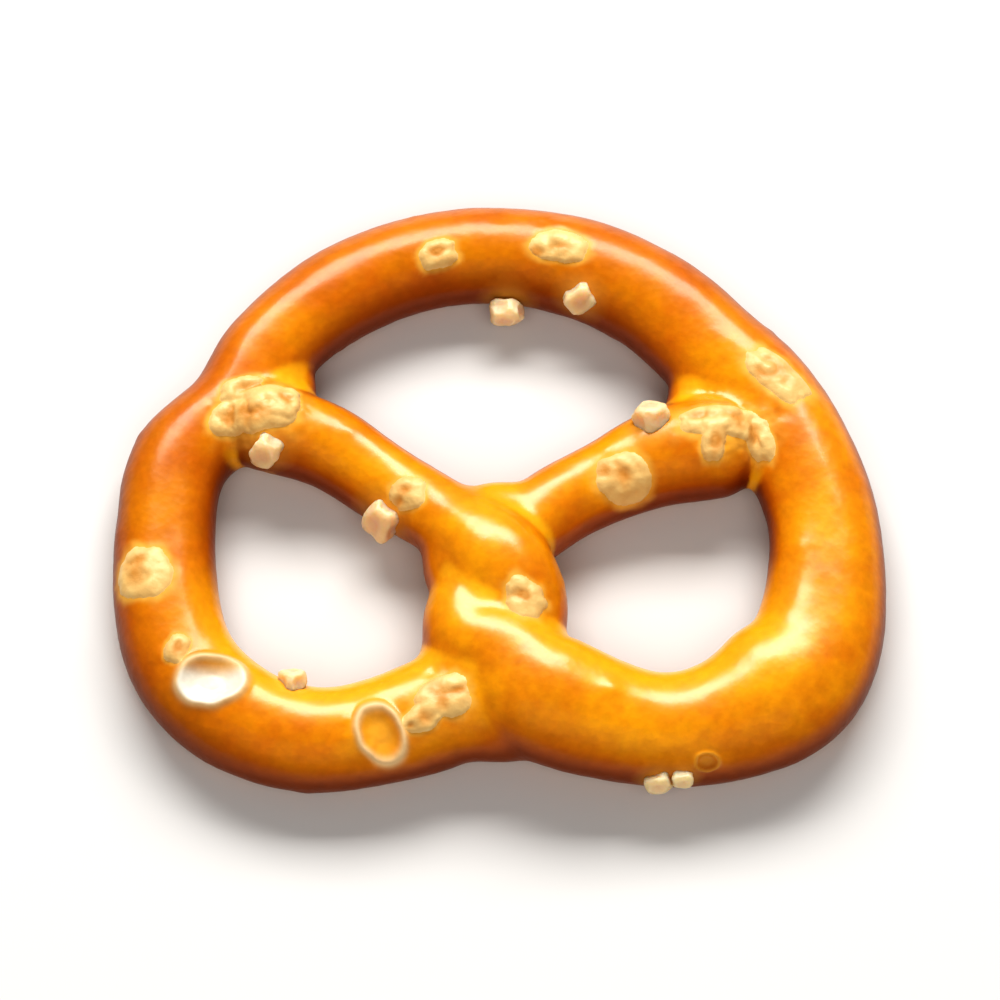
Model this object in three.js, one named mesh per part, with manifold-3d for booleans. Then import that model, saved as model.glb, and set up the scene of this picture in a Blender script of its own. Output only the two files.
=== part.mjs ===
// A small hard-baked snack pretzel with coarse salt, lying on its flat underside.
// It is one rope of dough. The belly is the round stretch at the back. From it each half of the rope runs
// down one flank, round a lobe at the front, through a full twist with the other half, and back along an arm
// whose tip is pressed onto the belly. The salt and the blisters are part of the same solid.
// Millimetres, +Z up, +X to the right, +Y towards the belly. The origin is under the middle of the whole.

import * as THREE from "three";
import { LoftGeometry } from "three/addons/geometries/LoftGeometry.js";
import { mergeVertices } from "three/addons/utils/BufferGeometryUtils.js";
import Module from "manifold-3d";

const wasm = await Module();
wasm.setup();

// Driving sizes. A place is [x, y, girth]: x counted outwards from the middle line, girth the rope's width.
// The belly is an arc, its angles in degrees from its middle. A lobe's angles are from straight outwards,
// with a girth for each. A twist has its lower crossing, the place between and its upper crossing, and its
// crest is the y of the crossing that lies on top.
const BELLY = { centre: [-0.5, 3.3], radius: 17.1, angles: [18, 36, 52], girth: 6.2 };
const LOBE_ANGLES = [-22, -46, -70, -94];
const CREST = { lift: 1.6, reach: 6 };
const TIP = { lift: 1.5, reach: 4.5, round: 2.2 };

// The two halves differ as hand-fed dough does. The left one passes over at the upper crossing, the right one
// at the lower. The last place of an arm is its tip.
const LEFT = {
  hand: -1,
  crest: -0.9,
  bellyGirth: 5.9,
  flank: [[15.9, 10.2, 5.8], [19.2, 6.6, 6.0], [20.0, 1.4, 6.1]],
  lobe: { centre: [10.1, -2.7], radii: [9.6, 8.8], girths: [6.7, 6.8, 6.6, 6.4] },
  foot: [2.4, -9.2, 6.9],
  twist: [[0, -6.4, 6.0], [-1.4, -3.9, 5.7], [0, -0.9, 6.4]],
  arm: [[3.5, 2.6, 4.8], [6.5, 4.8, 4.8], [10.5, 7.5, 5.3], [16.0, 8.9, 5.9]],
};
const RIGHT = {
  hand: 1,
  crest: -6.7,
  bellyGirth: 6.7,
  flank: [[15.8, 11.0, 6.8], [18.5, 5.9, 6.8], [19.6, 1.5, 6.9]],
  lobe: { centre: [9.9, -2.6], radii: [9.6, 8.3], girths: [8.0, 8.8, 7.6, 7.0] },
  foot: [2.3, -9.0, 8.0],
  twist: [[0.2, -6.7, 6.4], [-1.7, -5.2, 5.6], [0, 0.3, 5.0]],
  arm: [[3.3, 3.4, 5.0], [6.4, 5.15, 5.2], [10.2, 6.75, 6.1], [15.6, 6.9, 6.2]],
};

// Where the strands have run together in the oven: the foot of the twist, its heart, its left side above and
// below, the fork between the arms, and the corners behind the two tips.
const WEBS = [
  { centre: [0, -9.2, 2.4], radii: [5.8, 3.8, 2.8] },
  { centre: [-0.3, -2.6, 2.4], radii: [3.6, 4.6, 2.2] },
  { centre: [-2.9, -0.4, 2.5], radii: [1.7, 2.6, 2.3] },
  { centre: [-2.8, -6.0, 2.1], radii: [1.75, 2.3, 2.1] },
  { centre: [0.1, 2.8, 2.6], radii: [2.9, 2.0, 1.9] },
  { centre: [-13.2, 11.4, 1.8], radii: [2.3, 2.2, 1.7] },
  { centre: [12.2, 10.6, 1.9], radii: [2.1, 1.8, 1.7] },
];
const WEB_FACETS = [20, 12];

// The rope's section is an ellipse that sits low enough to be cut flat by the baking belt. Its height follows
// the girth half way only, since the wide stretches have spread and the narrow ones have not.
const EVEN_GIRTH = 6.2;
const HEIGHT_SHARE = 0.86;
const SEAT_SHARE = 0.32;
const SECTION_SIDES = 22;
const STATIONS = 170;
const PLUG_SHARES = [0.98, 0.9];

// Salt and blisters lie where a sight line from the front, this high, meets the crust. A standing crystal is
// [x, y, size across, share of that it stands off]. A crystal baked flush is [x, y, length, width, turn in
// degrees], and a blister the same with the depth of its hollow.
const SIGHT_ELEVATION = 66;
const SIGHT_LENGTH = 60;
const STANDING_SALT = [
  [-12.2, -7.8, 1.7, 0.1], [-13.95, 7.2, 2.0, 0], [-6.9, 2.75, 2.4, 0.05], [4.95, 17.4, 1.9, 0],
  [0.6, 17.3, 2.0, 0.4], [9.2, 9.3, 2.2, 0.1], [9.4, -14.0, 1.6, 0.1], [10.8, -13.8, 1.3, 0.05],
];
const PRESSED_SALT = [
  [-21.1, -0.75, 3.5, 3.4, 0], [16.8, 12.3, 4.6, 2.4, -42], [3.7, 20.9, 3.6, 2.1, -8],
  [-3.7, 20.4, 2.3, 1.8, 20], [7.5, 5.4, 3.2, 2.9, 0], [-3.3, -8.6, 3.2, 2.6, 20],
  [-4.5, -10.0, 2.2, 1.6, 30], [1.6, -2.3, 2.7, 2.1, -42], [-5.4, 4.4, 2.3, 2.0, 0],
  [-18.9, -5.6, 1.9, 1.4, 70], [13.7, 9.3, 5.0, 2.2, -3], [15.6, 8.0, 2.8, 1.6, -75],
  [12.9, 7.9, 2.5, 1.5, 80], [-14.2, 10.2, 3.6, 3.0, 15], [-16.0, 9.4, 2.6, 2.2, 10],
  [-12.8, 10.5, 2.4, 2.0, 70], [-15.4, 11.3, 2.6, 1.7, 15],
];
const BLISTERS = [
  [-16.9, -7.5, 4.4, 3.5, 0, 0.55], [-6.9, -10.9, 3.9, 3.0, -62, 0.35], [12.2, -12.8, 1.6, 1.4, 0, 0.25],
];
const CRYSTAL_STRETCH = [1, 0.86, 0.74];
const PRESSED = { rise: 0.22, depth: 0.7, top: 0.8, sides: 11 };
const BLISTER = { rim: 0.26, rimSides: 5, ringSides: 14, hollowShare: 0.44 };
const SALT_SEED = 7;

const turn = THREE.MathUtils.degToRad;

// A solid for joining and cutting, from a closed geometry.
function solidOf(geometry) {
  const bare = geometry.index ? geometry.toNonIndexed() : geometry.clone();
  bare.deleteAttribute("normal");
  bare.deleteAttribute("uv");
  const merged = mergeVertices(bare, 1e-4);
  const corners = [];
  for (let i = 0; i < merged.index.count; i += 3) {
    const [a, b, c] = merged.index.array.slice(i, i + 3);
    if (a !== b && b !== c && c !== a) corners.push(a, b, c);
  }
  return new wasm.Manifold(
    new wasm.Mesh({
      numProp: 3,
      vertProperties: merged.attributes.position.array,
      triVerts: new Uint32Array(corners),
    }),
  );
}

function geometryOf(solid) {
  const mesh = solid.getMesh();
  return new THREE.BufferGeometry()
    .setAttribute("position", new THREE.BufferAttribute(mesh.vertProperties, 3))
    .setIndex(new THREE.BufferAttribute(mesh.triVerts, 1));
}

const bump = (distance, reach) => Math.exp(-((distance / reach) ** 2));

// One half's route from beside the belly's middle to the arm's tip: plan place, girth and lift off the belt.
function halfRoute(half) {
  const { hand, lobe } = half;
  const route = [];
  const add = ([x, y, girth]) => route.push({ x: hand * x, y, girth });

  for (const angle of BELLY.angles) {
    const x = hand * BELLY.centre[0] + BELLY.radius * Math.sin(turn(angle));
    const y = BELLY.centre[1] + BELLY.radius * Math.cos(turn(angle));
    add([x, y, THREE.MathUtils.lerp(BELLY.girth, half.bellyGirth, angle / BELLY.angles.at(-1))]);
  }
  half.flank.forEach(add);
  LOBE_ANGLES.forEach((angle, i) => {
    const x = lobe.centre[0] + lobe.radii[0] * Math.cos(turn(angle));
    const y = lobe.centre[1] + lobe.radii[1] * Math.sin(turn(angle));
    add([x, y, lobe.girths[i]]);
  });
  add(half.foot);
  half.twist.forEach(add);
  half.arm.forEach(add);

  const tip = route.at(-1);
  route.forEach((place, i) => {
    const onArm = i >= route.length - half.arm.length;
    place.lift = CREST.lift * bump(Math.hypot(place.x, place.y - half.crest), CREST.reach);
    if (onArm) place.lift += TIP.lift * bump(Math.hypot(place.x - tip.x, place.y - tip.y), TIP.reach);
  });
  return route;
}

// The whole rope as cross sections, from the left tip round the belly to the right tip.
function ropeSections() {
  const middle = { x: BELLY.centre[0], y: BELLY.centre[1] + BELLY.radius, girth: BELLY.girth, lift: 0 };
  const route = [...halfRoute(LEFT).reverse(), middle, ...halfRoute(RIGHT)];
  const line = new THREE.CatmullRomCurve3(route.map((p) => new THREE.Vector3(p.x, p.y, p.lift)));
  const girths = new THREE.CatmullRomCurve3(route.map((p) => new THREE.Vector3(p.girth, 0, 0)));
  line.arcLengthDivisions = 2000;
  const length = line.getLength();
  const up = new THREE.Vector3(0, 0, 1);

  return Array.from({ length: STATIONS + 1 }, (_, i) => {
    const t = line.getUtoTmapping(i / STATIONS);
    const tangent = i === STATIONS / 2 ? new THREE.Vector3(1, 0, 0) : line.getTangent(t);
    const side = new THREE.Vector3().crossVectors(up, tangent).normalize();
    const rise = new THREE.Vector3().crossVectors(tangent, side);
    const girth = girths.getPoint(t).x;
    const evened = (girth + EVEN_GIRTH) / 2;
    const fromEnd = Math.min(i, STATIONS - i) * (length / STATIONS);
    const inRound = Math.max(0, 1 - fromEnd / TIP.round);
    const taper = Math.max(0.12, Math.sqrt(1 - inRound ** 2));
    const centre = line.getPoint(t).addScaledVector(up, SEAT_SHARE * evened);
    return Array.from({ length: SECTION_SIDES }, (_, k) => {
      const angle = (2 * Math.PI * k) / SECTION_SIDES;
      return centre
        .clone()
        .addScaledVector(side, (taper * girth * Math.cos(angle)) / 2)
        .addScaledVector(rise, (taper * evened * HEIGHT_SHARE * Math.sin(angle)) / 2);
    });
  });
}

const middleOf = (section) => {
  const sum = section.reduce((total, point) => total.add(point), new THREE.Vector3());
  return sum.divideScalar(section.length);
};

const shrunk = (section, share) => section.map((point) => point.clone().lerp(middleOf(section), 1 - share));

// The place in a stretch of sections that is nearest to a point on the middle line, where two strands cross.
function crossingIndex(sections, from, to, y) {
  let best = from;
  const miss = (i) => Math.hypot(middleOf(sections[i]).x, middleOf(sections[i]).y - y);
  for (let i = from; i < to; i++) if (miss(i) < miss(best)) best = i;
  return best;
}

// The rope is lofted in four stretches, so that none crosses itself: the two sides of the hoop, which meet at
// the belly's middle, and the two arms, each plugged into its side where that passes under the other strand.
// They are fused with the dough that has run together, and the belt cuts the underside flat.
function dough() {
  const sections = ropeSections();
  const middle = STATIONS / 2;
  const leftEnd = crossingIndex(sections, 0, middle, LEFT.twist[0][1]);
  const rightEnd = crossingIndex(sections, middle, STATIONS, RIGHT.twist[2][1]);
  const plug = (end, step) => PLUG_SHARES.map((share, i) => shrunk(sections[end + i * step], share));
  const stretches = [
    [...sections.slice(0, leftEnd), ...plug(leftEnd, 1)],
    sections.slice(leftEnd, middle + 1),
    sections.slice(middle, rightEnd + 1),
    [...plug(rightEnd, -1).reverse(), ...sections.slice(rightEnd + 1)],
  ];
  const caps = { capStart: true, capEnd: true };
  const lofts = stretches.map((stretch) => solidOf(new LoftGeometry(stretch, caps)));
  const webs = WEBS.map(({ centre, radii }) => {
    return solidOf(new THREE.SphereGeometry(1, ...WEB_FACETS).scale(...radii).translate(...centre));
  });
  const belt = new THREE.BoxGeometry(100, 100, 20).translate(0, 0, -10);
  return wasm.Manifold.union([...lofts, ...webs]).subtract(solidOf(belt));
}

// Where the sight line through a plan place meets the crust, as a placement whose Z axis stands off it.
function onCrust(crust, x, y, spin) {
  const tilt = turn(SIGHT_ELEVATION);
  const towards = new THREE.Vector3(0, Math.cos(tilt), -Math.sin(tilt));
  const level = SEAT_SHARE * BELLY.girth;
  const eye = new THREE.Vector3(x, y, level).addScaledVector(towards, -SIGHT_LENGTH);
  const [hit] = new THREE.Raycaster(eye, towards).intersectObject(crust);
  const stand = new THREE.Quaternion().setFromUnitVectors(new THREE.Vector3(0, 0, 1), hit.face.normal);
  const twist = new THREE.Quaternion().setFromAxisAngle(new THREE.Vector3(0, 0, 1), spin);
  return new THREE.Matrix4().compose(hit.point, stand.multiply(twist), new THREE.Vector3(1, 1, 1));
}

// A coarse salt crystal that stands in the crust.
function standingCrystal(across, standOff) {
  const lump = new THREE.DodecahedronGeometry(across / 2);
  return lump.scale(...CRYSTAL_STRETCH).translate(0, 0, standOff * across);
}

// A salt crystal baked flush: a flat cake that shows only its top.
function pressedCrystal(length, width) {
  const cake = new THREE.CylinderGeometry(PRESSED.top, 1, PRESSED.rise + PRESSED.depth, PRESSED.sides);
  cake.rotateX(Math.PI / 2).scale(length / 2, width / 2, 1);
  return cake.translate(0, 0, (PRESSED.rise - PRESSED.depth) / 2);
}

// The raised rim of a blister.
function blisterRim(length, width) {
  const { rim, rimSides, ringSides } = BLISTER;
  return new THREE.TorusGeometry(length / 2 - rim, rim, rimSides, ringSides).scale(1, width / length, 1);
}

// The dished hollow inside that rim.
function blisterHollow(length, width, depth) {
  const share = BLISTER.hollowShare;
  return new THREE.IcosahedronGeometry(1, 1).scale(share * length, share * width, depth);
}

// The outer skin alone, since dough fills the pockets that the strands and the salt close off.
const outerSkin = (solid) => solid.decompose().sort((a, b) => b.volume() - a.volume())[0];

function saltedDough() {
  let body = dough();
  const crust = new THREE.Mesh(geometryOf(body), new THREE.MeshBasicMaterial());
  const placed = (geometry, x, y, degrees) => {
    return solidOf(geometry.applyMatrix4(onCrust(crust, x, y, turn(degrees))));
  };

  for (const [x, y, length, width, degrees, depth] of BLISTERS) {
    body = body.subtract(placed(blisterHollow(length, width, depth), x, y, degrees));
    body = body.add(placed(blisterRim(length, width), x, y, degrees));
  }
  STANDING_SALT.forEach(([x, y, across, standOff], i) => {
    const spin = 360 * THREE.MathUtils.seededRandom(SALT_SEED + i);
    body = body.add(placed(standingCrystal(across, standOff), x, y, spin));
  });
  for (const [x, y, length, width, degrees] of PRESSED_SALT) {
    body = body.add(placed(pressedCrystal(length, width), x, y, degrees));
  }
  return geometryOf(outerSkin(body));
}

const bakedCrust = new THREE.MeshStandardMaterial({ color: 0xd27a16, roughness: 0.3, metalness: 0 });

const geometry = saltedDough();
geometry.computeBoundingBox();
const middle = geometry.boundingBox.getCenter(new THREE.Vector3());

const pretzel = new THREE.Mesh(geometry, bakedCrust);
pretzel.name = "pretzel";
pretzel.position.set(-middle.x, -middle.y, 0);

const part = new THREE.Group();
part.add(pretzel);

export default part;
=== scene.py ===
"""A small hard-baked pretzel with coarse salt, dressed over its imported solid."""

import math
import random

import bmesh
import bpy
from mathutils import Matrix, Vector, noise
from mathutils.bvhtree import BVHTree
from mathutils.kdtree import KDTree


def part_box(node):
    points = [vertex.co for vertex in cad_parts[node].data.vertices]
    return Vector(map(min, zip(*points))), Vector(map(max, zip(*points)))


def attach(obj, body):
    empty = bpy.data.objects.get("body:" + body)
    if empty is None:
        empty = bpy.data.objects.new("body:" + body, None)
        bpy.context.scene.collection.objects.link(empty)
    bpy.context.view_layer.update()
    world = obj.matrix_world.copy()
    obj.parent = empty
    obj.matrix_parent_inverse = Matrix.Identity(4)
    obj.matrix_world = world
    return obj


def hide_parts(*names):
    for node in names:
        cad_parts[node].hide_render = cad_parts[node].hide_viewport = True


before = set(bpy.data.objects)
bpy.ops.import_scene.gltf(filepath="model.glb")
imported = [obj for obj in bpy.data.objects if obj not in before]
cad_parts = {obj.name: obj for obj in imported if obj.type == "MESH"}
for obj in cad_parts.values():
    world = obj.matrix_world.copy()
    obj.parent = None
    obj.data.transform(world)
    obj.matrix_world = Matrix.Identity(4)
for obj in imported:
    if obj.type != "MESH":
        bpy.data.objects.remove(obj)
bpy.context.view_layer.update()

MM = 0.001
UP = Vector((0, 0, 1))

# The rope of dough, in millimetres, as in the solid. A place is x, counted outwards from the middle line,
# y, and the rope's girth. The belly is an arc with its angles in degrees from its middle, and each lobe is
# an arc with its angles from straight out.
BELLY = {"centre": (-0.5, 3.3), "radius": 17.1, "angles": (18, 36, 52), "girth": 6.2}
LOBE_ANGLES = (-22, -46, -70, -94)
CREST = {"lift": 1.6, "reach": 6.0}
TIP = {"lift": 1.5, "reach": 4.5, "round": 2.2}
HEIGHT_SHARE = 0.86
SEAT_SHARE = 0.32
EVEN_GIRTH = 6.2

# The left half passes over at the upper crossing of the twist, the right half at the lower. A twist has
# its lower crossing, the place between and its upper crossing, and its crest is the y of the crossing that
# lies on top.
LEFT = {
    "hand": -1,
    "crest": -0.9,
    "belly_girth": 5.9,
    "flank": [(15.9, 10.2, 5.8), (19.2, 6.6, 6.0), (20.0, 1.4, 6.1)],
    "lobe": {"centre": (10.1, -2.7), "radii": (9.6, 8.8), "girths": (6.7, 6.8, 6.6, 6.4)},
    "foot": (2.4, -9.2, 6.9),
    "twist": [(0.0, -6.4, 6.0), (-1.4, -3.9, 5.7), (0.0, -0.9, 6.4)],
    "arm": [(3.5, 2.6, 4.8), (6.5, 4.8, 4.8), (10.5, 7.5, 5.3), (16.0, 8.9, 5.9)],
}
RIGHT = {
    "hand": 1,
    "crest": -6.7,
    "belly_girth": 6.7,
    "flank": [(15.8, 11.0, 6.8), (18.5, 5.9, 6.8), (19.6, 1.5, 6.9)],
    "lobe": {"centre": (9.9, -2.6), "radii": (9.6, 8.3), "girths": (8.0, 8.8, 7.6, 7.0)},
    "foot": (2.3, -9.0, 8.0),
    "twist": [(0.2, -6.7, 6.4), (-1.7, -5.2, 5.6), (0.0, 0.3, 5.0)],
    "arm": [(3.3, 3.4, 5.0), (6.4, 5.15, 5.2), (10.2, 6.75, 6.1), (15.6, 6.9, 6.2)],
}

# Where the strands have run together in the oven, as the centres and radii of the dough between them: the
# foot of the twist, its heart, its left side above and below, the fork between the arms, and the corners
# at the two tips.
WEBS = [
    ((0.0, -9.2, 2.4), (5.8, 3.8, 2.8)),
    ((-0.3, -2.6, 2.4), (3.6, 4.6, 2.2)),
    ((-2.9, -0.4, 2.5), (1.7, 2.6, 2.3)),
    ((-2.8, -6.0, 2.1), (1.75, 2.3, 2.1)),
    ((0.1, 2.8, 2.6), (2.9, 2.0, 1.9)),
    ((-13.2, 11.4, 1.8), (2.3, 2.2, 1.7)),
    ((12.2, 10.6, 1.9), (2.1, 1.8, 1.7)),
]

# How finely the dough is rolled and fused, in millimetres and counts. Most of a crease's depth fills up,
# all but the slack, and the depth is measured against the same dough after many more smoothing passes.
SECTION_SIDES = 40
STEPS_A_PLACE = 12
FUSE_SIZE = 0.23
FUSE_PASSES = 21
BELT_ROUND = 0.3
CREASE_PASSES = 52
CREASE_FILL = 0.7
CREASE_SLACK = 0.02
FILL_PASSES = 2

# Salt, bare tips and blisters lie where a sight line from the front, this high, meets the crust. A standing
# crystal is x, y, size across and the share of it by which its middle stands off the crust. The rest are x,
# y, length, width and turn in degrees, and a blister also has its depth.
SIGHT_ELEVATION = 66
SIGHT_LENGTH = 60
STANDING_SALT = [
    (-12.2, -7.8, 1.7, 0.1),
    (-13.95, 7.2, 2.0, 0.0),
    (-6.9, 2.75, 2.4, 0.05),
    (4.95, 17.4, 1.9, 0.0),
    (0.6, 17.3, 2.0, 0.4),
    (9.2, 9.3, 2.2, 0.1),
    (9.4, -14.0, 1.6, 0.1),
    (10.8, -13.8, 1.3, 0.05),
]
PRESSED_SALT = [
    (-21.1, -0.75, 3.5, 3.4, 0),
    (16.8, 12.3, 4.6, 2.4, -42),
    (3.7, 20.9, 3.6, 2.1, -8),
    (-3.7, 20.4, 2.3, 1.8, 20),
    (7.5, 5.4, 3.2, 2.9, 0),
    (-3.3, -8.6, 3.2, 2.6, 20),
    (-4.5, -10.0, 2.2, 1.6, 30),
    (1.6, -2.3, 2.7, 2.1, -42),
    (-5.4, 4.4, 2.3, 2.0, 0),
    (-18.9, -5.6, 1.9, 1.4, 70),
    (13.7, 9.3, 5.0, 2.2, -3),
    (15.6, 8.0, 2.8, 1.6, -75),
    (12.9, 7.9, 2.5, 1.5, 80),
    (-14.2, 10.2, 3.6, 3.0, 15),
    (-16.0, 9.4, 2.6, 2.2, 10),
    (-12.8, 10.5, 2.4, 2.0, 70),
    (-15.4, 11.3, 2.6, 1.7, 15),
]
BARE_TIPS = [(-14.4, 10.1, 6.6, 5.2, 10), (14.2, 8.9, 6.0, 4.2, 0)]
BLISTERS = [
    (-16.9, -7.5, 4.4, 3.5, 0, 0.55),
    (-6.9, -10.9, 3.9, 3.0, -62, 0.35),
    (12.2, -12.8, 1.6, 1.4, 0, 0.25),
]
FINER_REACH = 0.72

# A standing crystal is a rounded block: its shares of length, how square it is, how far its faces are
# dished, how many corners are chipped and by what share, and how far it leans, in radians.
CRYSTAL_STRETCH = (1.0, 0.86, 0.74)
CRYSTAL_SQUARE = 3.5
CRYSTAL_DISH = 0.12
CRYSTAL_CHIPS = 4
CRYSTAL_CHIPPED = 0.7
CRYSTAL_LEAN = 0.3

# A flush cake of salt, in millimetres: how high it rises, how deep its skirt lies under the crust, how far
# the skirt reaches as a share of the cake, and how thick it is.
PRESSED_HEIGHT = 0.32
SKIRT_DEPTH = 0.05
SKIRT_REACH = 0.1
CAKE_THICKNESS = 0.4
CAKE_SQUARE = 2.5

# Lumps of the dough as height, size and an offset that keeps their patterns apart, and the pimples and
# pits, all in millimetres.
LUMPS = [
    (0.10, 5.5, Vector((0, 0, 0))),
    (0.028, 1.9, Vector((9, 0, 0))),
    (0.012, 0.8, Vector((0, 9, 0))),
]
PIMPLES = 90
PIMPLE_REACH = (0.25, 0.6)
PIMPLE_SLOPES = (0.14, 0.1, -0.12)

# Wrinkles of the underside, in millimetres: how deep, how far apart and how long they are, how far they
# slant and bend, and the finer ones that cross them.
FOLD = {"depth": 0.34, "apart": 1.9, "long": 4.8, "slant": 0.55, "bend": 0.6, "bend_size": 3.2}
FINE_FOLD = {"apart": 1.0, "long": 2.2, "share": 0.45}
SCORCH_SIZE = 3.0

# The tops are darker over the back, and over the left side as painted shade. The twist and the fork
# between the arms stay lighter, and the lobes' slopes towards the belly, which face the lamp, carry
# painted light.
DARKER_BACK_LEFT = {"share": 0.4, "back": (9, 17), "left": (8, 19)}
TWIST_SHELTER = {"y": -2.5, "reach": 6, "share": 0.6}
FORK_SHELTER = {"y": 3.6, "reach": 1.8, "share": 0.7}
LOBE_PAINTED_LIGHT = {"y": (-3, 1), "share": 0.8}
UNDERSIDE_SHELTER = 0.7

# A burst blister: where its rim stands as a share of its half width, how wide and how high the rim is, and
# the depth from which the rim is whole.
BLISTER = {"rim_at": 0.86, "rim_width": 0.15, "rim_height": 0.24, "whole_from": 0.35}

# Seeded chance, and how far apart the noise patterns of two pieces of salt lie.
SEED = 7
PATTERN_SPREAD = 90

# The camera looks from the front at the photograph's height, in metres and millimetres of lens.
CAMERA_AIM = Vector((0, -0.0001, 0.0019))
CAMERA_AWAY = 0.334
CAMERA_LENS = 200


def fade(distance, reach):
    """Falls from 1 to about a third at this reach, and on to nothing."""
    return math.exp(-((distance / reach) ** 2))


def ease(low, high, value):
    """Rises smoothly from 0 at low to 1 at high."""
    share = min(1.0, max(0.0, (value - low) / (high - low)))
    return share * share * (3 - 2 * share)


def chance(draw):
    """A vector whose three parts are each drawn from -1 to 1."""
    return Vector((draw.uniform(-1, 1), draw.uniform(-1, 1), draw.uniform(-1, 1)))


def search_tree(points):
    """A tree that finds the nearest of these points, or all within a reach."""
    tree = KDTree(len(points))
    for i, point in enumerate(points):
        tree.insert(point, i)
    tree.balance()
    return tree


def half_route(half):
    """One half of the rope from beside the belly's middle to the arm's tip: x, y, lift and girth."""
    hand = half["hand"]
    lobe = half["lobe"]
    places = []
    for angle in BELLY["angles"]:
        turn = math.radians(angle)
        x = hand * BELLY["centre"][0] + BELLY["radius"] * math.sin(turn)
        y = BELLY["centre"][1] + BELLY["radius"] * math.cos(turn)
        share = angle / BELLY["angles"][-1]
        places.append((x, y, BELLY["girth"] + share * (half["belly_girth"] - BELLY["girth"])))
    places += half["flank"]
    for angle, girth in zip(LOBE_ANGLES, lobe["girths"]):
        turn = math.radians(angle)
        x = lobe["centre"][0] + lobe["radii"][0] * math.cos(turn)
        y = lobe["centre"][1] + lobe["radii"][1] * math.sin(turn)
        places.append((x, y, girth))
    places.append(half["foot"])
    places += half["twist"]
    places += half["arm"]

    tip_x, tip_y, _ = half["arm"][-1]
    route = []
    for i, (x, y, girth) in enumerate(places):
        lift = CREST["lift"] * fade(math.hypot(x, y - half["crest"]), CREST["reach"])
        if i >= len(places) - len(half["arm"]):
            lift += TIP["lift"] * fade(math.hypot(x - tip_x, y - tip_y), TIP["reach"])
        route.append(Vector((hand * x, y, lift, girth)))
    return route


def smooth_between(before, start, end, after, share):
    """A point on the centripetal curve through four places, between the second and the third."""
    first, second, third = [
        max(1e-3, (b - a).xyz.length ** 0.5) for a, b in ((before, start), (start, end), (end, after))
    ]
    leave = (start - before) / first - (end - before) / (first + second) + (end - start) / second
    reach = (end - start) / second - (after - start) / (second + third) + (after - end) / third
    leave *= second
    reach *= second
    return (
        start
        + leave * share
        + (3 * (end - start) - 2 * leave - reach) * share**2
        + (2 * (start - end) + leave + reach) * share**3
    )


def rope_line():
    """Points along the rope, from the left tip round the belly to the right tip: x, y, lift and girth."""
    back = Vector((BELLY["centre"][0], BELLY["centre"][1] + BELLY["radius"], 0, BELLY["girth"]))
    route = half_route(LEFT)[::-1] + [back] + half_route(RIGHT)
    route = [2 * route[0] - route[1]] + route + [2 * route[-1] - route[-2]]
    line = []
    for four in zip(route, route[1:], route[2:], route[3:]):
        for step in range(STEPS_A_PLACE):
            line.append(smooth_between(*four, step / STEPS_A_PLACE))
    return line + [route[-2]]


def lengths_along(line):
    """How far along the rope each of its points lies."""
    along = [0.0]
    for a, b in zip(line, line[1:]):
        along.append(along[-1] + (b - a).xyz.length)
    return along


def rope_sections(line, along):
    """A matrix for each point that makes a unit circle the rope's section there, flatter where it is wide."""
    sections = []
    for i, point in enumerate(line):
        ahead = (line[min(i + 1, len(line) - 1)] - line[max(i - 1, 0)]).xyz.normalized()
        side = UP.cross(ahead).normalized()
        rise = ahead.cross(side)
        from_end = min(along[i], along[-1] - along[i])
        taper = max(0.1, math.sqrt(1 - max(0.0, 1 - from_end / TIP["round"]) ** 2))
        evened = (point.w + EVEN_GIRTH) / 2
        wide = point.w / 2 * taper
        high = evened / 2 * taper * HEIGHT_SHARE
        turned = Matrix((side * wide, rise * high, ahead)).transposed()
        sections.append(Matrix.Translation(point.xyz + UP * SEAT_SHARE * evened) @ turned.to_4x4())
    return sections


def rolled_rope(sections):
    """The rope rolled out along its route, and the dough where its strands have run together."""
    bm = bmesh.new()
    ring = bmesh.ops.create_circle(bm, segments=SECTION_SIDES, radius=1, matrix=sections[0])["verts"]
    edges = list({edge for vert in ring for edge in vert.link_edges})
    for before, after in zip(sections, sections[1:]):
        grown = bmesh.ops.extrude_edge_only(bm, edges=edges)["geom"]
        ring = [part for part in grown if isinstance(part, bmesh.types.BMVert)]
        edges = [part for part in grown if isinstance(part, bmesh.types.BMEdge)]
        bmesh.ops.transform(bm, matrix=after @ before.inverted(), verts=ring)
    bmesh.ops.holes_fill(bm, edges=bm.edges)
    for centre, radii in WEBS:
        web = Matrix.Translation(centre) @ Matrix.Diagonal((*radii, 1))
        bmesh.ops.create_uvsphere(bm, u_segments=40, v_segments=24, radius=1, matrix=web)
    bmesh.ops.recalc_face_normals(bm, faces=bm.faces)
    return bm


def fused(bm):
    """One skin round all the strands, as the dough has in the oven."""
    mesh = bpy.data.meshes.new("rolled_rope")
    bm.to_mesh(mesh)
    bm.free()
    roll = bpy.data.objects.new("rolled_rope", mesh)
    bpy.context.collection.objects.link(roll)
    skin = roll.modifiers.new("one_skin", "REMESH")
    skin.mode = "VOXEL"
    skin.voxel_size = FUSE_SIZE
    shown = roll.evaluated_get(bpy.context.evaluated_depsgraph_get())
    result = bmesh.new()
    result.from_mesh(shown.to_mesh())
    bpy.data.objects.remove(roll)
    return result


def soften(bm, passes):
    """Smooths the whole skin this many times."""
    for _ in range(passes):
        bmesh.ops.smooth_vert(
            bm, verts=bm.verts, factor=0.5, use_axis_x=True, use_axis_y=True, use_axis_z=True
        )
    bm.normal_update()


def hollows(bm):
    """How deep each spot lies in a crease, in millimetres."""
    filled = bm.copy()
    soften(filled, CREASE_PASSES)
    depths = [(after.co - vert.co).dot(vert.normal) for vert, after in zip(bm.verts, filled.verts)]
    filled.free()
    return depths


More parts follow.
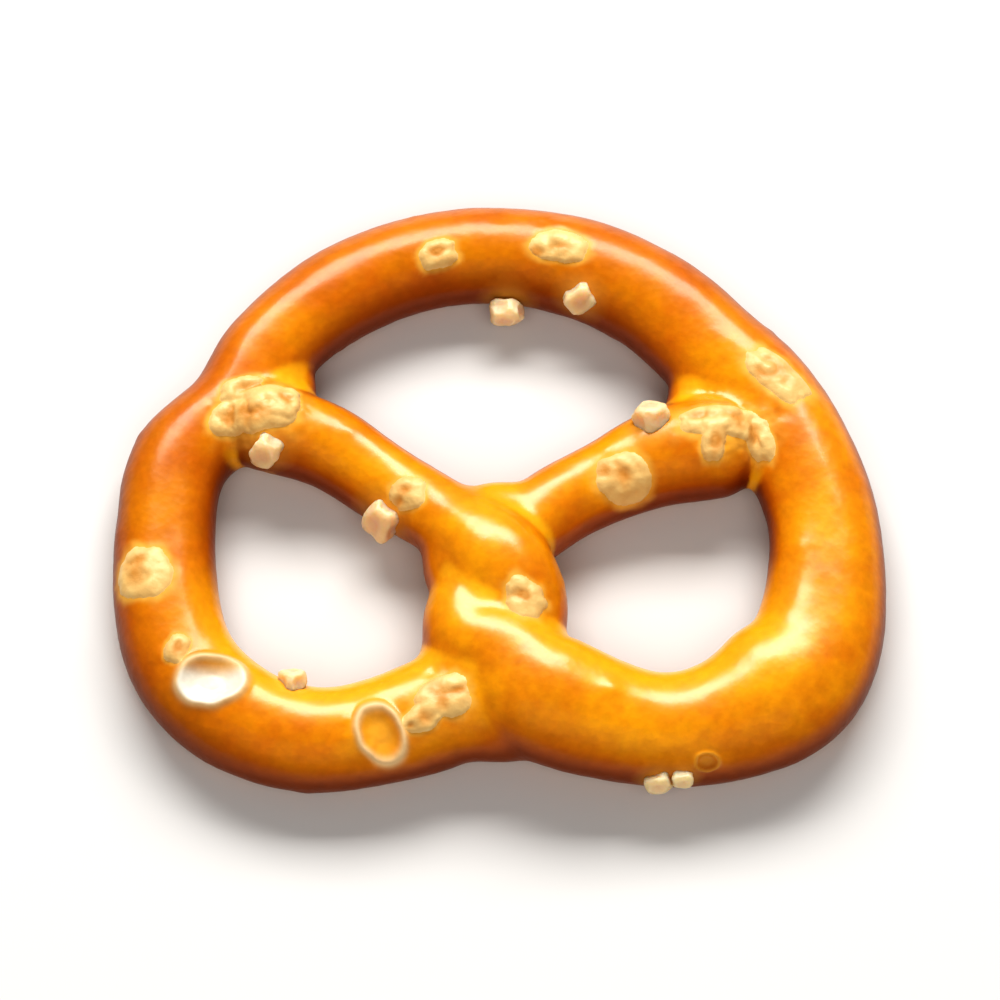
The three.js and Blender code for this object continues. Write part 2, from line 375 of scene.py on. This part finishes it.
def settle(bm):
    """The belt presses the underside flat, and the creases between strands soften and fill up."""
    for vert in bm.verts:
        z = vert.co.z
        vert.co.z = (z + math.sqrt(z * z + BELT_ROUND**2)) / 2
    soften(bm, FUSE_PASSES)
    for vert, depth in zip(bm.verts, hollows(bm)):
        vert.co += vert.normal * CREASE_FILL * max(0.0, depth - CREASE_SLACK)
    soften(bm, FILL_PASSES)


def finer(bm, places):
    """Splits the skin's edges near these places, so that it can take the small forms there."""
    skin = search_tree([vert.co for vert in bm.verts])
    near = set()
    for place, reach in places:
        near.update(i for _, i, _ in skin.find_range(place.translation, reach))
    edges = [edge for edge in bm.edges if edge.verts[0].index in near and edge.verts[1].index in near]
    bmesh.ops.subdivide_edges(bm, edges=edges, cuts=1, use_grid_fill=True)
    bm.normal_update()
    bm.verts.index_update()
    bm.verts.ensure_lookup_table()


def on_crust(tree, x, y, turn):
    """A placement where the sight line through x, y meets the crust, with its Z axis off the surface."""
    tilt = math.radians(SIGHT_ELEVATION)
    towards = Vector((0, math.cos(tilt), -math.sin(tilt)))
    start = Vector((x, y, SEAT_SHARE * BELLY["girth"])) - towards * SIGHT_LENGTH
    point, normal, _, _ = tree.ray_cast(start, towards)
    stand = UP.rotation_difference(normal).to_matrix().to_4x4()
    return Matrix.Translation(point) @ stand @ Matrix.Rotation(math.radians(turn), 4, "Z")


def standing_crystal(bm, place, across, stand, draw):
    """A coarse crystal standing in the crust: a worn block, dished in its faces and stained there."""
    verts = bmesh.ops.create_icosphere(bm, subdivisions=5, radius=1)["verts"]
    stain = bm.verts.layers.float["stain"]
    standing = bm.verts.layers.float["standing"]
    chips = [(chance(draw).normalized(), draw.uniform(0.95, 1.1)) for _ in range(CRYSTAL_CHIPS)]
    stained = [draw.uniform(0.0, 0.4) for _ in range(3)]
    seed = chance(draw) * PATTERN_SPREAD
    for vert in verts:
        way = vert.co.normalized()
        face = max(range(3), key=lambda i: abs(way[i]))
        dished = ease(0.8, 0.98, abs(way[face]) + 0.03 * noise.noise(way * 3 + seed))
        block = sum(abs(c) ** CRYSTAL_SQUARE for c in way) ** (1 / CRYSTAL_SQUARE)
        shape = way / block * (1 - CRYSTAL_DISH * dished)
        for facing, reach in chips:
            over = max(0.0, shape.dot(facing) - reach)
            shape = shape - facing * over * CRYSTAL_CHIPPED
        worn = 1 + 0.1 * noise.noise(shape * 1.5 + seed) + 0.03 * noise.noise(shape * 5 + seed)
        vert.co = shape * worn
        vert[stain] = dished * stained[face]
        vert[standing] = 1
    half = across / 2
    sized = Matrix.Diagonal([half * share for share in CRYSTAL_STRETCH] + [1])
    lean_x = Matrix.Rotation(draw.uniform(-CRYSTAL_LEAN, CRYSTAL_LEAN), 4, "X")
    lean_y = Matrix.Rotation(draw.uniform(-CRYSTAL_LEAN, CRYSTAL_LEAN), 4, "Y")
    leaning = lean_x @ lean_y
    raised = Matrix.Translation((0, 0, stand * across))
    bmesh.ops.transform(bm, matrix=place @ raised @ leaning @ sized, verts=verts)


def salt_cakes(pressed, draw):
    """The crystals baked flush: where each lies, its sizes, its dimples and the seed of its ragged edge."""
    cakes = []
    for place, length, width in pressed:
        dimples = [
            (chance(draw).xy * 0.25, draw.uniform(0.35, 0.5)),
            (chance(draw).xy * 0.8, draw.uniform(0.2, 0.35)),
        ]
        cakes.append((place.inverted(), length, width, dimples, chance(draw) * PATTERN_SPREAD))
    return cakes


def cake_relief(cakes, at):
    """How far inside the flush salt a spot of the crust lies, how high the salt is there and how stained."""
    cover = -1.0
    rise = 0.0
    stained = 0.0
    for inside, length, width, dimples, seed in cakes:
        local = inside @ at
        plan = Vector((2 * local.x / length, 2 * local.y / width))
        if abs(local.z) > 2 or not 0 < plan.length < 2:
            continue
        way = plan.normalized().to_3d()
        edge = 1 + 0.2 * noise.noise(way * 1.3 + seed) + 0.08 * noise.noise(way * 3.5 + seed)
        block = (abs(way.x) ** CAKE_SQUARE + abs(way.y) ** CAKE_SQUARE) ** (1 / CAKE_SQUARE)
        out = plan.length * block / edge
        cover = max(cover, 1 - out)
        if out < 1:
            wander = 1 + 0.6 * noise.noise(local * 1.4 + seed)
            dimple = sum(fade((plan - centre).length * wander, reach) for centre, reach in dimples)
            dimple = min(1.0, dimple)
            grit = 0.3 * noise.noise(local * 1.5 + seed) + 0.08 * noise.noise(local * 3.5 + seed)
            height = PRESSED_HEIGHT * (1 - out * out) ** 0.6 * (1 - 0.5 * dimple + grit)
            rise = (rise**3 + height**3) ** (1 / 3)
            stained = max(stained, dimple)
    return cover, rise, stained


def pressed_salt(crust, reliefs):
    """The crystals baked flush into the crust: thin cakes that follow the dough, stained in their dimples."""
    bm = crust.copy()
    layers = bm.verts.layers.float
    for name in layers.keys():
        layers.remove(layers[name])
    stain = layers.new("stain")
    layers.new("standing")
    normals = [vert.normal.copy() for vert in bm.verts]
    covers = []
    for vert, normal, (cover, rise, stained) in zip(bm.verts, normals, reliefs):
        covers.append(cover)
        vert.co += normal * (rise - SKIRT_DEPTH * (1 - ease(-SKIRT_REACH, 0.05, cover)))
        vert[stain] = 0.8 * stained
    bm.verts.index_update()
    bare = [face for face in bm.faces if max(covers[vert.index] for vert in face.verts) < -SKIRT_REACH]
    bmesh.ops.delete(bm, geom=bare, context="FACES")
    bmesh.ops.solidify(bm, geom=bm.faces[:], thickness=CAKE_THICKNESS)
    bmesh.ops.recalc_face_normals(bm, faces=bm.faces)
    return bm


def belt_folds(along, across):
    """The wrinkles that baking on a belt leaves under the dough: 1 on a ridge, 0 in a fold."""
    slant = along + FOLD["slant"] * across
    bend_at = Vector((along / FOLD["bend_size"], across / FOLD["bend_size"], 5.0))
    bend = FOLD["bend"] * noise.noise(bend_at)
    wide = noise.noise(Vector((slant / FOLD["apart"] + bend, across / FOLD["long"], 3.0)))
    fine = noise.noise(Vector((slant / FINE_FOLD["apart"], across / FINE_FOLD["long"], 8.0)))
    return ease(0.0, 0.34, abs(wide)) * (1 - FINE_FOLD["share"] * ease(0.05, 0.5, fine))


def uneven_dough(bm, along, sections):
    """Marks browning, painted shade and light, and gives how far lumps and the belt's folds raise it."""
    layers = bm.verts.layers.float
    browned_and_shaded = layers["browned_and_shaded"]
    crease_and_lit_slope = layers["crease_and_lit_slope"]
    ridge = layers["ridge"]
    middle = search_tree([section.translation for section in sections])
    lift = []
    folds = []
    for vert, depth in zip(bm.verts, hollows(bm)):
        at = vert.co
        facing = vert.normal
        _, i, _ = middle.find(at)
        off_middle = at - sections[i].translation
        across = off_middle.dot(sections[i].col[0].xyz.normalized())
        reached = along[i] + off_middle.dot(sections[i].col[2].xyz)
        lift.append(sum(height * noise.noise(at / size + aside) for height, size, aside in LUMPS))

        flat = ease(0.25, 0.8, -facing.z)
        raised = belt_folds(reached, across)
        folds.append(FOLD["depth"] * flat * (1 - raised))
        scorched = ease(-0.45, 0.2, noise.noise(at / SCORCH_SIZE + Vector((0, 0, 9))))
        vert[ridge] = raised * flat * scorched

        # The tops darken towards the back, and towards the left as painted shade.
        darker_back_left = DARKER_BACK_LEFT["share"] * max(ease(*DARKER_BACK_LEFT["back"], at.y), ease(*DARKER_BACK_LEFT["left"], -at.x))
        # Sides and underside are browner: partly a real darker bake, partly painted shade on the sides turned
        # from the lamp.
        side_darkening = 1 - (1 - darker_back_left) * ease(0.1, 1.05, facing.z)
        in_twist = fade(math.hypot(at.x, at.y - TWIST_SHELTER["y"]), TWIST_SHELTER["reach"])
        in_fork = fade(math.hypot(at.x, at.y - FORK_SHELTER["y"]), FORK_SHELTER["reach"])
        # Painted light: the lobes' slopes that face the lamp behind are made lighter, yellower and less
        # browned.
        lit_lobe_slope = ease(-0.1, 0.5, facing.y) * ease(-0.2, 0.2, facing.z)
        lit_lobe_slope *= LOBE_PAINTED_LIGHT["share"] * (1 - ease(*LOBE_PAINTED_LIGHT["y"], at.y))
        side_darkening *= (1 - TWIST_SHELTER["share"] * in_twist) * (1 - lit_lobe_slope)
        vert[browned_and_shaded] = side_darkening * (1 - UNDERSIDE_SHELTER * flat)
        vert[crease_and_lit_slope] = max(ease(0.0, 0.06, depth), FORK_SHELTER["share"] * in_fork, lit_lobe_slope)
    return lift, folds


def raise_pimples(bm, skin, lift):
    """Small pimples and pits all over the crust, the wider the higher."""
    draw = random.Random(SEED)
    for _ in range(PIMPLES):
        centre = bm.verts[draw.randrange(len(bm.verts))].co
        reach = draw.uniform(*PIMPLE_REACH)
        height = draw.choice(PIMPLE_SLOPES) * reach
        for _, i, gap in skin.find_range(centre, 2.2 * reach):
            lift[i] += height * fade(gap, reach)


def pale_round_salt(bm, skin, standing, reliefs):
    """The crust stays paler under the salt and close round it."""
    pale = bm.verts.layers.float["pale"]
    for vert, (cover, _, _) in zip(bm.verts, reliefs):
        vert[pale] = ease(-0.4, 0.1, cover + 0.15 * noise.noise(vert.co / 0.7))
    for place, across, _ in standing:
        for _, i, gap in skin.find_range(place.translation, across):
            bm.verts[i][pale] = max(bm.verts[i][pale], 0.8 * fade(gap, 0.6 * across))


def roughen_tips(bm, skin, tips, lift):
    """The arms' tips, where the crust stays paler and rough."""
    pale = bm.verts.layers.float["pale"]
    for place, length, width in tips:
        inside = place.inverted()
        for at, i, _ in skin.find_range(place.translation, 0.75 * length):
            local = inside @ at
            out = math.hypot(local.x / length, local.y / width) * 2 + 0.35 * noise.noise(at / 1.1)
            bare = 1 - ease(0.55, 1.1, out)
            bm.verts[i][pale] = max(bm.verts[i][pale], 0.6 * bare)
            lift[i] += bare * (0.07 * noise.noise(at / 0.75) + 0.05 * noise.noise(at / 0.4))


def burst_blisters(bm, skin, blisters, lift):
    """Burst blisters: pale rims round bowls, and salt in a deep one, painted white where the lamp lights it.
    """
    pale = bm.verts.layers.float["pale"]
    salt_and_painted_light = bm.verts.layers.float["salt_and_painted_light"]
    for place, length, width, depth in blisters:
        inside = place.inverted()
        whole = min(1.0, depth / BLISTER["whole_from"]) ** 2
        for at, i, _ in skin.find_range(place.translation, 0.75 * length):
            local = inside @ at
            out = math.hypot(local.x / length, local.y / width) * 2
            out *= 1 + 0.08 * noise.noise(Vector((local.x, local.y, 0)).normalized() * 1.5)
            rim = whole * fade(out - BLISTER["rim_at"], BLISTER["rim_width"])
            bowl = 1 - ease(0.3, BLISTER["rim_at"], out)
            lift[i] = (1 - bowl) * lift[i] + BLISTER["rim_height"] * rim - depth * bowl
            bm.verts[i][pale] = max(bm.verts[i][pale], rim, 0.45 * bowl)
            # Salt in the deep bowl, painted white only on the near wall, which faces the lamp: painted light.
            lit_salt_pool = ease(0.4, 0.5, depth) * (1 - ease(0.8, 1.0, out))
            lit_salt_pool *= 1 - ease(0.1, 0.75, 2 * local.y / width)
            bm.verts[i][salt_and_painted_light] = max(lit_salt_pool, 0.4 * rim * ease(0.25, 0.35, depth))


def dress_crust(bm, along, sections, standing, tips, blisters, reliefs):
    """Uneven dough, its wrinkled underside, pimples and blisters, browning, and painted shade and light."""
    for name in ("browned_and_shaded", "pale", "crease_and_lit_slope", "ridge", "salt_and_painted_light"):
        bm.verts.layers.float.new(name)
    skin = search_tree([vert.co for vert in bm.verts])
    lift, folds = uneven_dough(bm, along, sections)
    raise_pimples(bm, skin, lift)
    pale_round_salt(bm, skin, standing, reliefs)
    roughen_tips(bm, skin, tips, lift)
    burst_blisters(bm, skin, blisters, lift)
    normals = [vert.normal.copy() for vert in bm.verts]
    for vert, normal, out, fold in zip(bm.verts, normals, lift, folds):
        vert.co += normal * out + UP * fold
        vert.co.z = max(0.0, vert.co.z)
    bm.normal_update()


def linear(hex_colour):
    """An sRGB hex colour as linear RGBA."""
    values = [int(hex_colour[i : i + 2], 16) / 255 for i in (1, 3, 5)]
    return [v / 12.92 if v <= 0.04045 else ((v + 0.055) / 1.055) ** 2.4 for v in values] + [1.0]


def per_mm(size):
    """The texture scale that makes a pattern repeat about once in this many millimetres."""
    return 1 / (size * MM)


def add(tree, kind, inputs, **settings):
    """Adds a node, sets its properties, and sets or links its inputs."""
    made = tree.nodes.new(kind)
    for name, value in settings.items():
        setattr(made, name, value)
    for socket, value in inputs.items():
        if isinstance(value, bpy.types.NodeSocket):
            tree.links.new(value, made.inputs[socket])
        else:
            made.inputs[socket].default_value = value
    return made


def new_material(name):
    """An empty node material and its tree."""
    material = bpy.data.materials.new(name)
    material.use_nodes = True
    material.node_tree.nodes.clear()
    return material, material.node_tree


def baked_crust():
    """Lye-dipped dough, baked till its skin sets hard and glossy: golden brown, blotchy, with fine pores."""
    material, tree = new_material("lye_dipped_baked_crust")
    place = add(tree, "ShaderNodeTexCoord", {}).outputs["Object"]
    baked = {}
    for name in ("browned_and_shaded", "pale", "crease_and_lit_slope", "ridge", "salt_and_painted_light"):
        baked[name] = add(tree, "ShaderNodeAttribute", {}, attribute_name=name).outputs["Fac"]

    # Blotches of the bake are about 5 mm across and freckles 0.7 mm. The pores of such a skin are finer than
    # 0.1 mm, and are drawn at 0.45 mm so that they show.
    blotches = add(
        tree,
        "ShaderNodeTexNoise",
        {"Vector": place, "Scale": per_mm(5), "Detail": 6.0, "Roughness": 0.6},
    )
    freckles = add(tree, "ShaderNodeTexNoise", {"Vector": place, "Scale": per_mm(0.7), "Detail": 3.0})
    pores = add(tree, "ShaderNodeTexVoronoi", {"Vector": place, "Scale": per_mm(0.45)})

    spread = add(
        tree,
        "ShaderNodeMapRange",
        {"Value": blotches.outputs["Fac"], "From Min": 0.35, "From Max": 0.65},
    )
    colour = add(
        tree,
        "ShaderNodeMix",
        {0: spread.outputs["Result"], 6: linear("#f0a406"), 7: linear("#d57c00")},
        data_type="RGBA",
    )

    # Over the golden skin lie, in this order, what has browned, with painted shade on the sides; what has
    # almost burnt, partly painted shade; the lighter creases, with painted light on the lobes' slopes that
    # face the lamp; the ridges that lay on the belt; the pale spots round salt and at the tips; and salt in
    # the blisters, painted white as painted light on the side of the deep bowl that the lamp lights.
    # The darkest brown lies on the most browned sides and is partly painted shade.
    burnt_and_deep_shade = add(
        tree, "ShaderNodeMapRange", {"Value": baked["browned_and_shaded"], "From Min": 0.35, "From Max": 1.0}
    )
    layers = (
        (baked["browned_and_shaded"], "#c25a00"),
        (burnt_and_deep_shade.outputs["Result"], "#843b04"),
        (baked["crease_and_lit_slope"], "#f4b01a"),
        (baked["ridge"], "#a15a26"),
        (baked["pale"], "#e8b050"),
        (baked["salt_and_painted_light"], "#e8dfcd"),
    )
    for amount, shade in layers:
        colour = add(
            tree, "ShaderNodeMix", {0: amount, 6: colour.outputs[2], 7: linear(shade)}, data_type="RGBA"
        )
    speckle = add(
        tree, "ShaderNodeMapRange", {"Value": freckles.outputs["Fac"], "To Min": 0.8, "To Max": 1.14}
    )
    colour = add(
        tree,
        "ShaderNodeMix",
        {0: 1.0, 6: colour.outputs[2], 7: speckle.outputs["Result"]},
        data_type="RGBA",
        blend_type="MULTIPLY",
    )

    # The glaze is full on golden skin and nearly gone where the crust is browned, painted shaded, or pale.
    gloss = add(
        tree, "ShaderNodeMapRange", {"Value": blotches.outputs["Fac"], "To Min": 0.3, "To Max": 0.42}
    )
    dull = add(
        tree,
        "ShaderNodeMath",
        {0: baked["pale"], 1: 0.2, 2: gloss.outputs["Result"]},
        operation="MULTIPLY_ADD",
    )
    rough = add(
        tree, "ShaderNodeMath", {0: baked["ridge"], 1: 0.2, 2: dull.outputs[0]}, operation="MULTIPLY_ADD"
    )
    dry = add(tree, "ShaderNodeMath", {0: baked["browned_and_shaded"], 1: baked["pale"]}, operation="MAXIMUM")
    glaze = add(tree, "ShaderNodeMapRange", {"Value": dry.outputs[0], "To Min": 0.9, "To Max": 0.15})
    pits = add(
        tree,
        "ShaderNodeMath",
        {0: freckles.outputs["Fac"], 1: 0.7, 2: pores.outputs["Distance"]},
        operation="MULTIPLY_ADD",
    )
    skin = add(
        tree, "ShaderNodeBump", {"Strength": 0.3, "Distance": 0.06 * MM, "Height": pits.outputs[0]}
    )
    shader = add(
        tree,
        "ShaderNodeBsdfPrincipled",
        {
            "Base Color": colour.outputs[2],
            "Roughness": rough.outputs[0],
            "Normal": skin.outputs["Normal"],
            "Specular IOR Level": 0.14,
            "Coat Weight": glaze.outputs["Result"],
            "Coat Roughness": 0.24,
            "Coat IOR": 1.5,
        },
    )
    add(tree, "ShaderNodeOutputMaterial", {"Surface": shader.outputs["BSDF"]})
    return material


def coarse_salt():
    """Pressed coarse salt, part melted by the steam of the bake: cream-white, cloudy, with a waxy sheen."""
    material, tree = new_material("pressed_coarse_salt")
    place = add(tree, "ShaderNodeTexCoord", {}).outputs["Object"]
    stain = add(tree, "ShaderNodeAttribute", {}, attribute_name="stain").outputs["Fac"]
    standing = add(tree, "ShaderNodeAttribute", {}, attribute_name="standing").outputs["Fac"]

    # Clouds in the salt are about 0.9 mm across. Its grit is about 0.1 mm, and is drawn at 0.25 mm so that
    # it shows.
    cloud = add(tree, "ShaderNodeTexNoise", {"Vector": place, "Scale": per_mm(0.9), "Detail": 4.0})
    grit = add(tree, "ShaderNodeTexNoise", {"Vector": place, "Scale": per_mm(0.25), "Detail": 2.0})

    # The bake stains the salt in its dimples, and least in the crystals that stand clear of the crust.
    spread = add(
        tree,
        "ShaderNodeMapRange",
        {"Value": cloud.outputs["Fac"], "From Min": 0.35, "From Max": 0.65},
    )
    veiled = add(
        tree, "ShaderNodeMath", {0: spread.outputs["Result"], 1: 0.3, 2: stain}, operation="MULTIPLY_ADD"
    )
    colour = add(
        tree,
        "ShaderNodeMix",
        {0: veiled.outputs[0], 6: linear("#ebc784"), 7: linear("#d09040")},
        data_type="RGBA",
    )
    clear = add(tree, "ShaderNodeMath", {0: standing, 1: 0.6}, operation="MULTIPLY")
    colour = add(
        tree,
        "ShaderNodeMix",
        {0: clear.outputs[0], 6: colour.outputs[2], 7: linear("#f0d2b4")},
        data_type="RGBA",
    )
    rough = add(
        tree, "ShaderNodeMapRange", {"Value": cloud.outputs["Fac"], "To Min": 0.35, "To Max": 0.6}
    )
    skin = add(
        tree, "ShaderNodeBump", {"Strength": 0.35, "Distance": 0.08 * MM, "Height": grit.outputs["Fac"]}
    )
    shader = add(
        tree,
        "ShaderNodeBsdfPrincipled",
        {
            "Base Color": colour.outputs[2],
            "Roughness": rough.outputs["Result"],
            "Normal": skin.outputs["Normal"],
            "IOR": 1.54,
            "Subsurface Weight": standing,
            "Subsurface Radius": (1.0, 0.75, 0.45),
            "Subsurface Scale": 1.4 * MM,
        },
    )
    add(tree, "ShaderNodeOutputMaterial", {"Surface": shader.outputs["BSDF"]})
    return material


def white_table():
    """A table top painted matt white, with no sheen."""
    material, tree = new_material("matt_white_table")
    shader = add(tree, "ShaderNodeBsdfPrincipled", {"Base Color": linear("#dcd9d5"), "Roughness": 0.7})
    add(tree, "ShaderNodeOutputMaterial", {"Surface": shader.outputs["BSDF"]})
    return material


def new_piece(name, bm, material):
    """Turns a bmesh in millimetres into a piece in metres."""
    bmesh.ops.scale(bm, vec=(MM, MM, MM), verts=bm.verts)
    mesh = bpy.data.meshes.new(name)
    bm.to_mesh(mesh)
    bm.free()
    mesh.shade_smooth()
    mesh.materials.append(material)
    piece = bpy.data.objects.new(name, mesh)
    bpy.context.collection.objects.link(piece)
    return piece


def pretzel():
    """The dough, rolled, twisted, fused and baked, and the salt on it."""
    line = rope_line()
    along = lengths_along(line)
    sections = rope_sections(line, along)
    bm = fused(rolled_rope(sections))
    settle(bm)
    tree = BVHTree.FromBMesh(bm)
    draw = random.Random(SEED)

    standing = []
    for x, y, across, stand in STANDING_SALT:
        standing.append((on_crust(tree, x, y, draw.uniform(0, 360)), across, stand))
    pressed = [(on_crust(tree, x, y, turn), long, wide) for x, y, long, wide, turn in PRESSED_SALT]
    tips = [(on_crust(tree, x, y, turn), long, wide) for x, y, long, wide, turn in BARE_TIPS]
    blisters = [(on_crust(tree, x, y, turn), long, wide, deep) for x, y, long, wide, turn, deep in BLISTERS]
    finer(bm, [(place, FINER_REACH * long) for place, long, *_ in pressed + blisters])
    cakes = salt_cakes(pressed, draw)
    reliefs = [cake_relief(cakes, vert.co) for vert in bm.verts]
    dress_crust(bm, along, sections, standing, tips, blisters, reliefs)

    salt = pressed_salt(bm, reliefs)
    for place, across, stand in standing:
        standing_crystal(salt, place, across, stand, draw)

    # The solid is centred over its own middle. The dough's left and back edges meet the solid's.
    solid_low, solid_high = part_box("pretzel")
    reach_x = min(vert.co.x for vert in bm.verts)
    reach_y = max(vert.co.y for vert in bm.verts)
    shift = Vector((solid_low[0] / MM - reach_x, solid_high[1] / MM - reach_y, 0))
    bmesh.ops.translate(bm, vec=shift, verts=bm.verts)
    bmesh.ops.translate(salt, vec=shift, verts=salt.verts)

    dough = new_piece("dough", bm, baked_crust())
    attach(dough, "root")
    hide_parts("pretzel")
    grains = new_piece("salt_grains", salt, coarse_salt())
    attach(grains, "root")


def table():
    """The table top that the pretzel lies on."""
    bm = bmesh.new()
    bmesh.ops.create_grid(bm, x_segments=1, y_segments=1, size=900)
    floor = new_piece("table", bm, white_table())


def softbox(name, place, size, energy, mirrored=True):
    """A broad lamp that faces the pretzel, and shows in its gloss if it is mirrored."""
    lamp = bpy.data.lights.new(name, "AREA")
    lamp.shape = "RECTANGLE"
    lamp.size, lamp.size_y = size
    lamp.energy = energy
    holder = bpy.data.objects.new(name, lamp)
    holder.location = place
    holder.rotation_euler = (-Vector(place)).to_track_quat("-Z", "Y").to_euler()
    holder.visible_glossy = mirrored
    bpy.context.collection.objects.link(holder)


def studio():
    """Soft light from behind and above, a weaker one from the front, and a little from all round."""
    softbox("key", (0, 0.36, 0.347), (0.5, 0.2), 2.9)
    softbox("fill", (0, -0.35, 0.45), (0.6, 0.4), 1.3, mirrored=False)
    world = bpy.data.worlds.new("studio")
    world.use_nodes = True
    world.node_tree.nodes["Background"].inputs["Color"].default_value = (1, 1, 1, 1)
    world.node_tree.nodes["Background"].inputs["Strength"].default_value = 0.13
    bpy.context.scene.world = world
    bpy.context.scene.view_settings.view_transform = "Standard"
    bpy.context.scene.view_settings.look = "High Contrast"


def camera():
    """A long lens from the front, at the height of the sight lines."""
    lens = bpy.data.cameras.new("camera")
    lens.lens = CAMERA_LENS
    lens.clip_start = 0.01
    holder = bpy.data.objects.new("camera", lens)
    tilt = math.radians(SIGHT_ELEVATION)
    holder.location = CAMERA_AIM + Vector((0, -math.cos(tilt), math.sin(tilt))) * CAMERA_AWAY
    holder.rotation_euler = (math.pi / 2 - tilt, 0, 0)
    bpy.context.collection.objects.link(holder)
    bpy.context.scene.camera = holder


camera()
pretzel()
table()
studio()
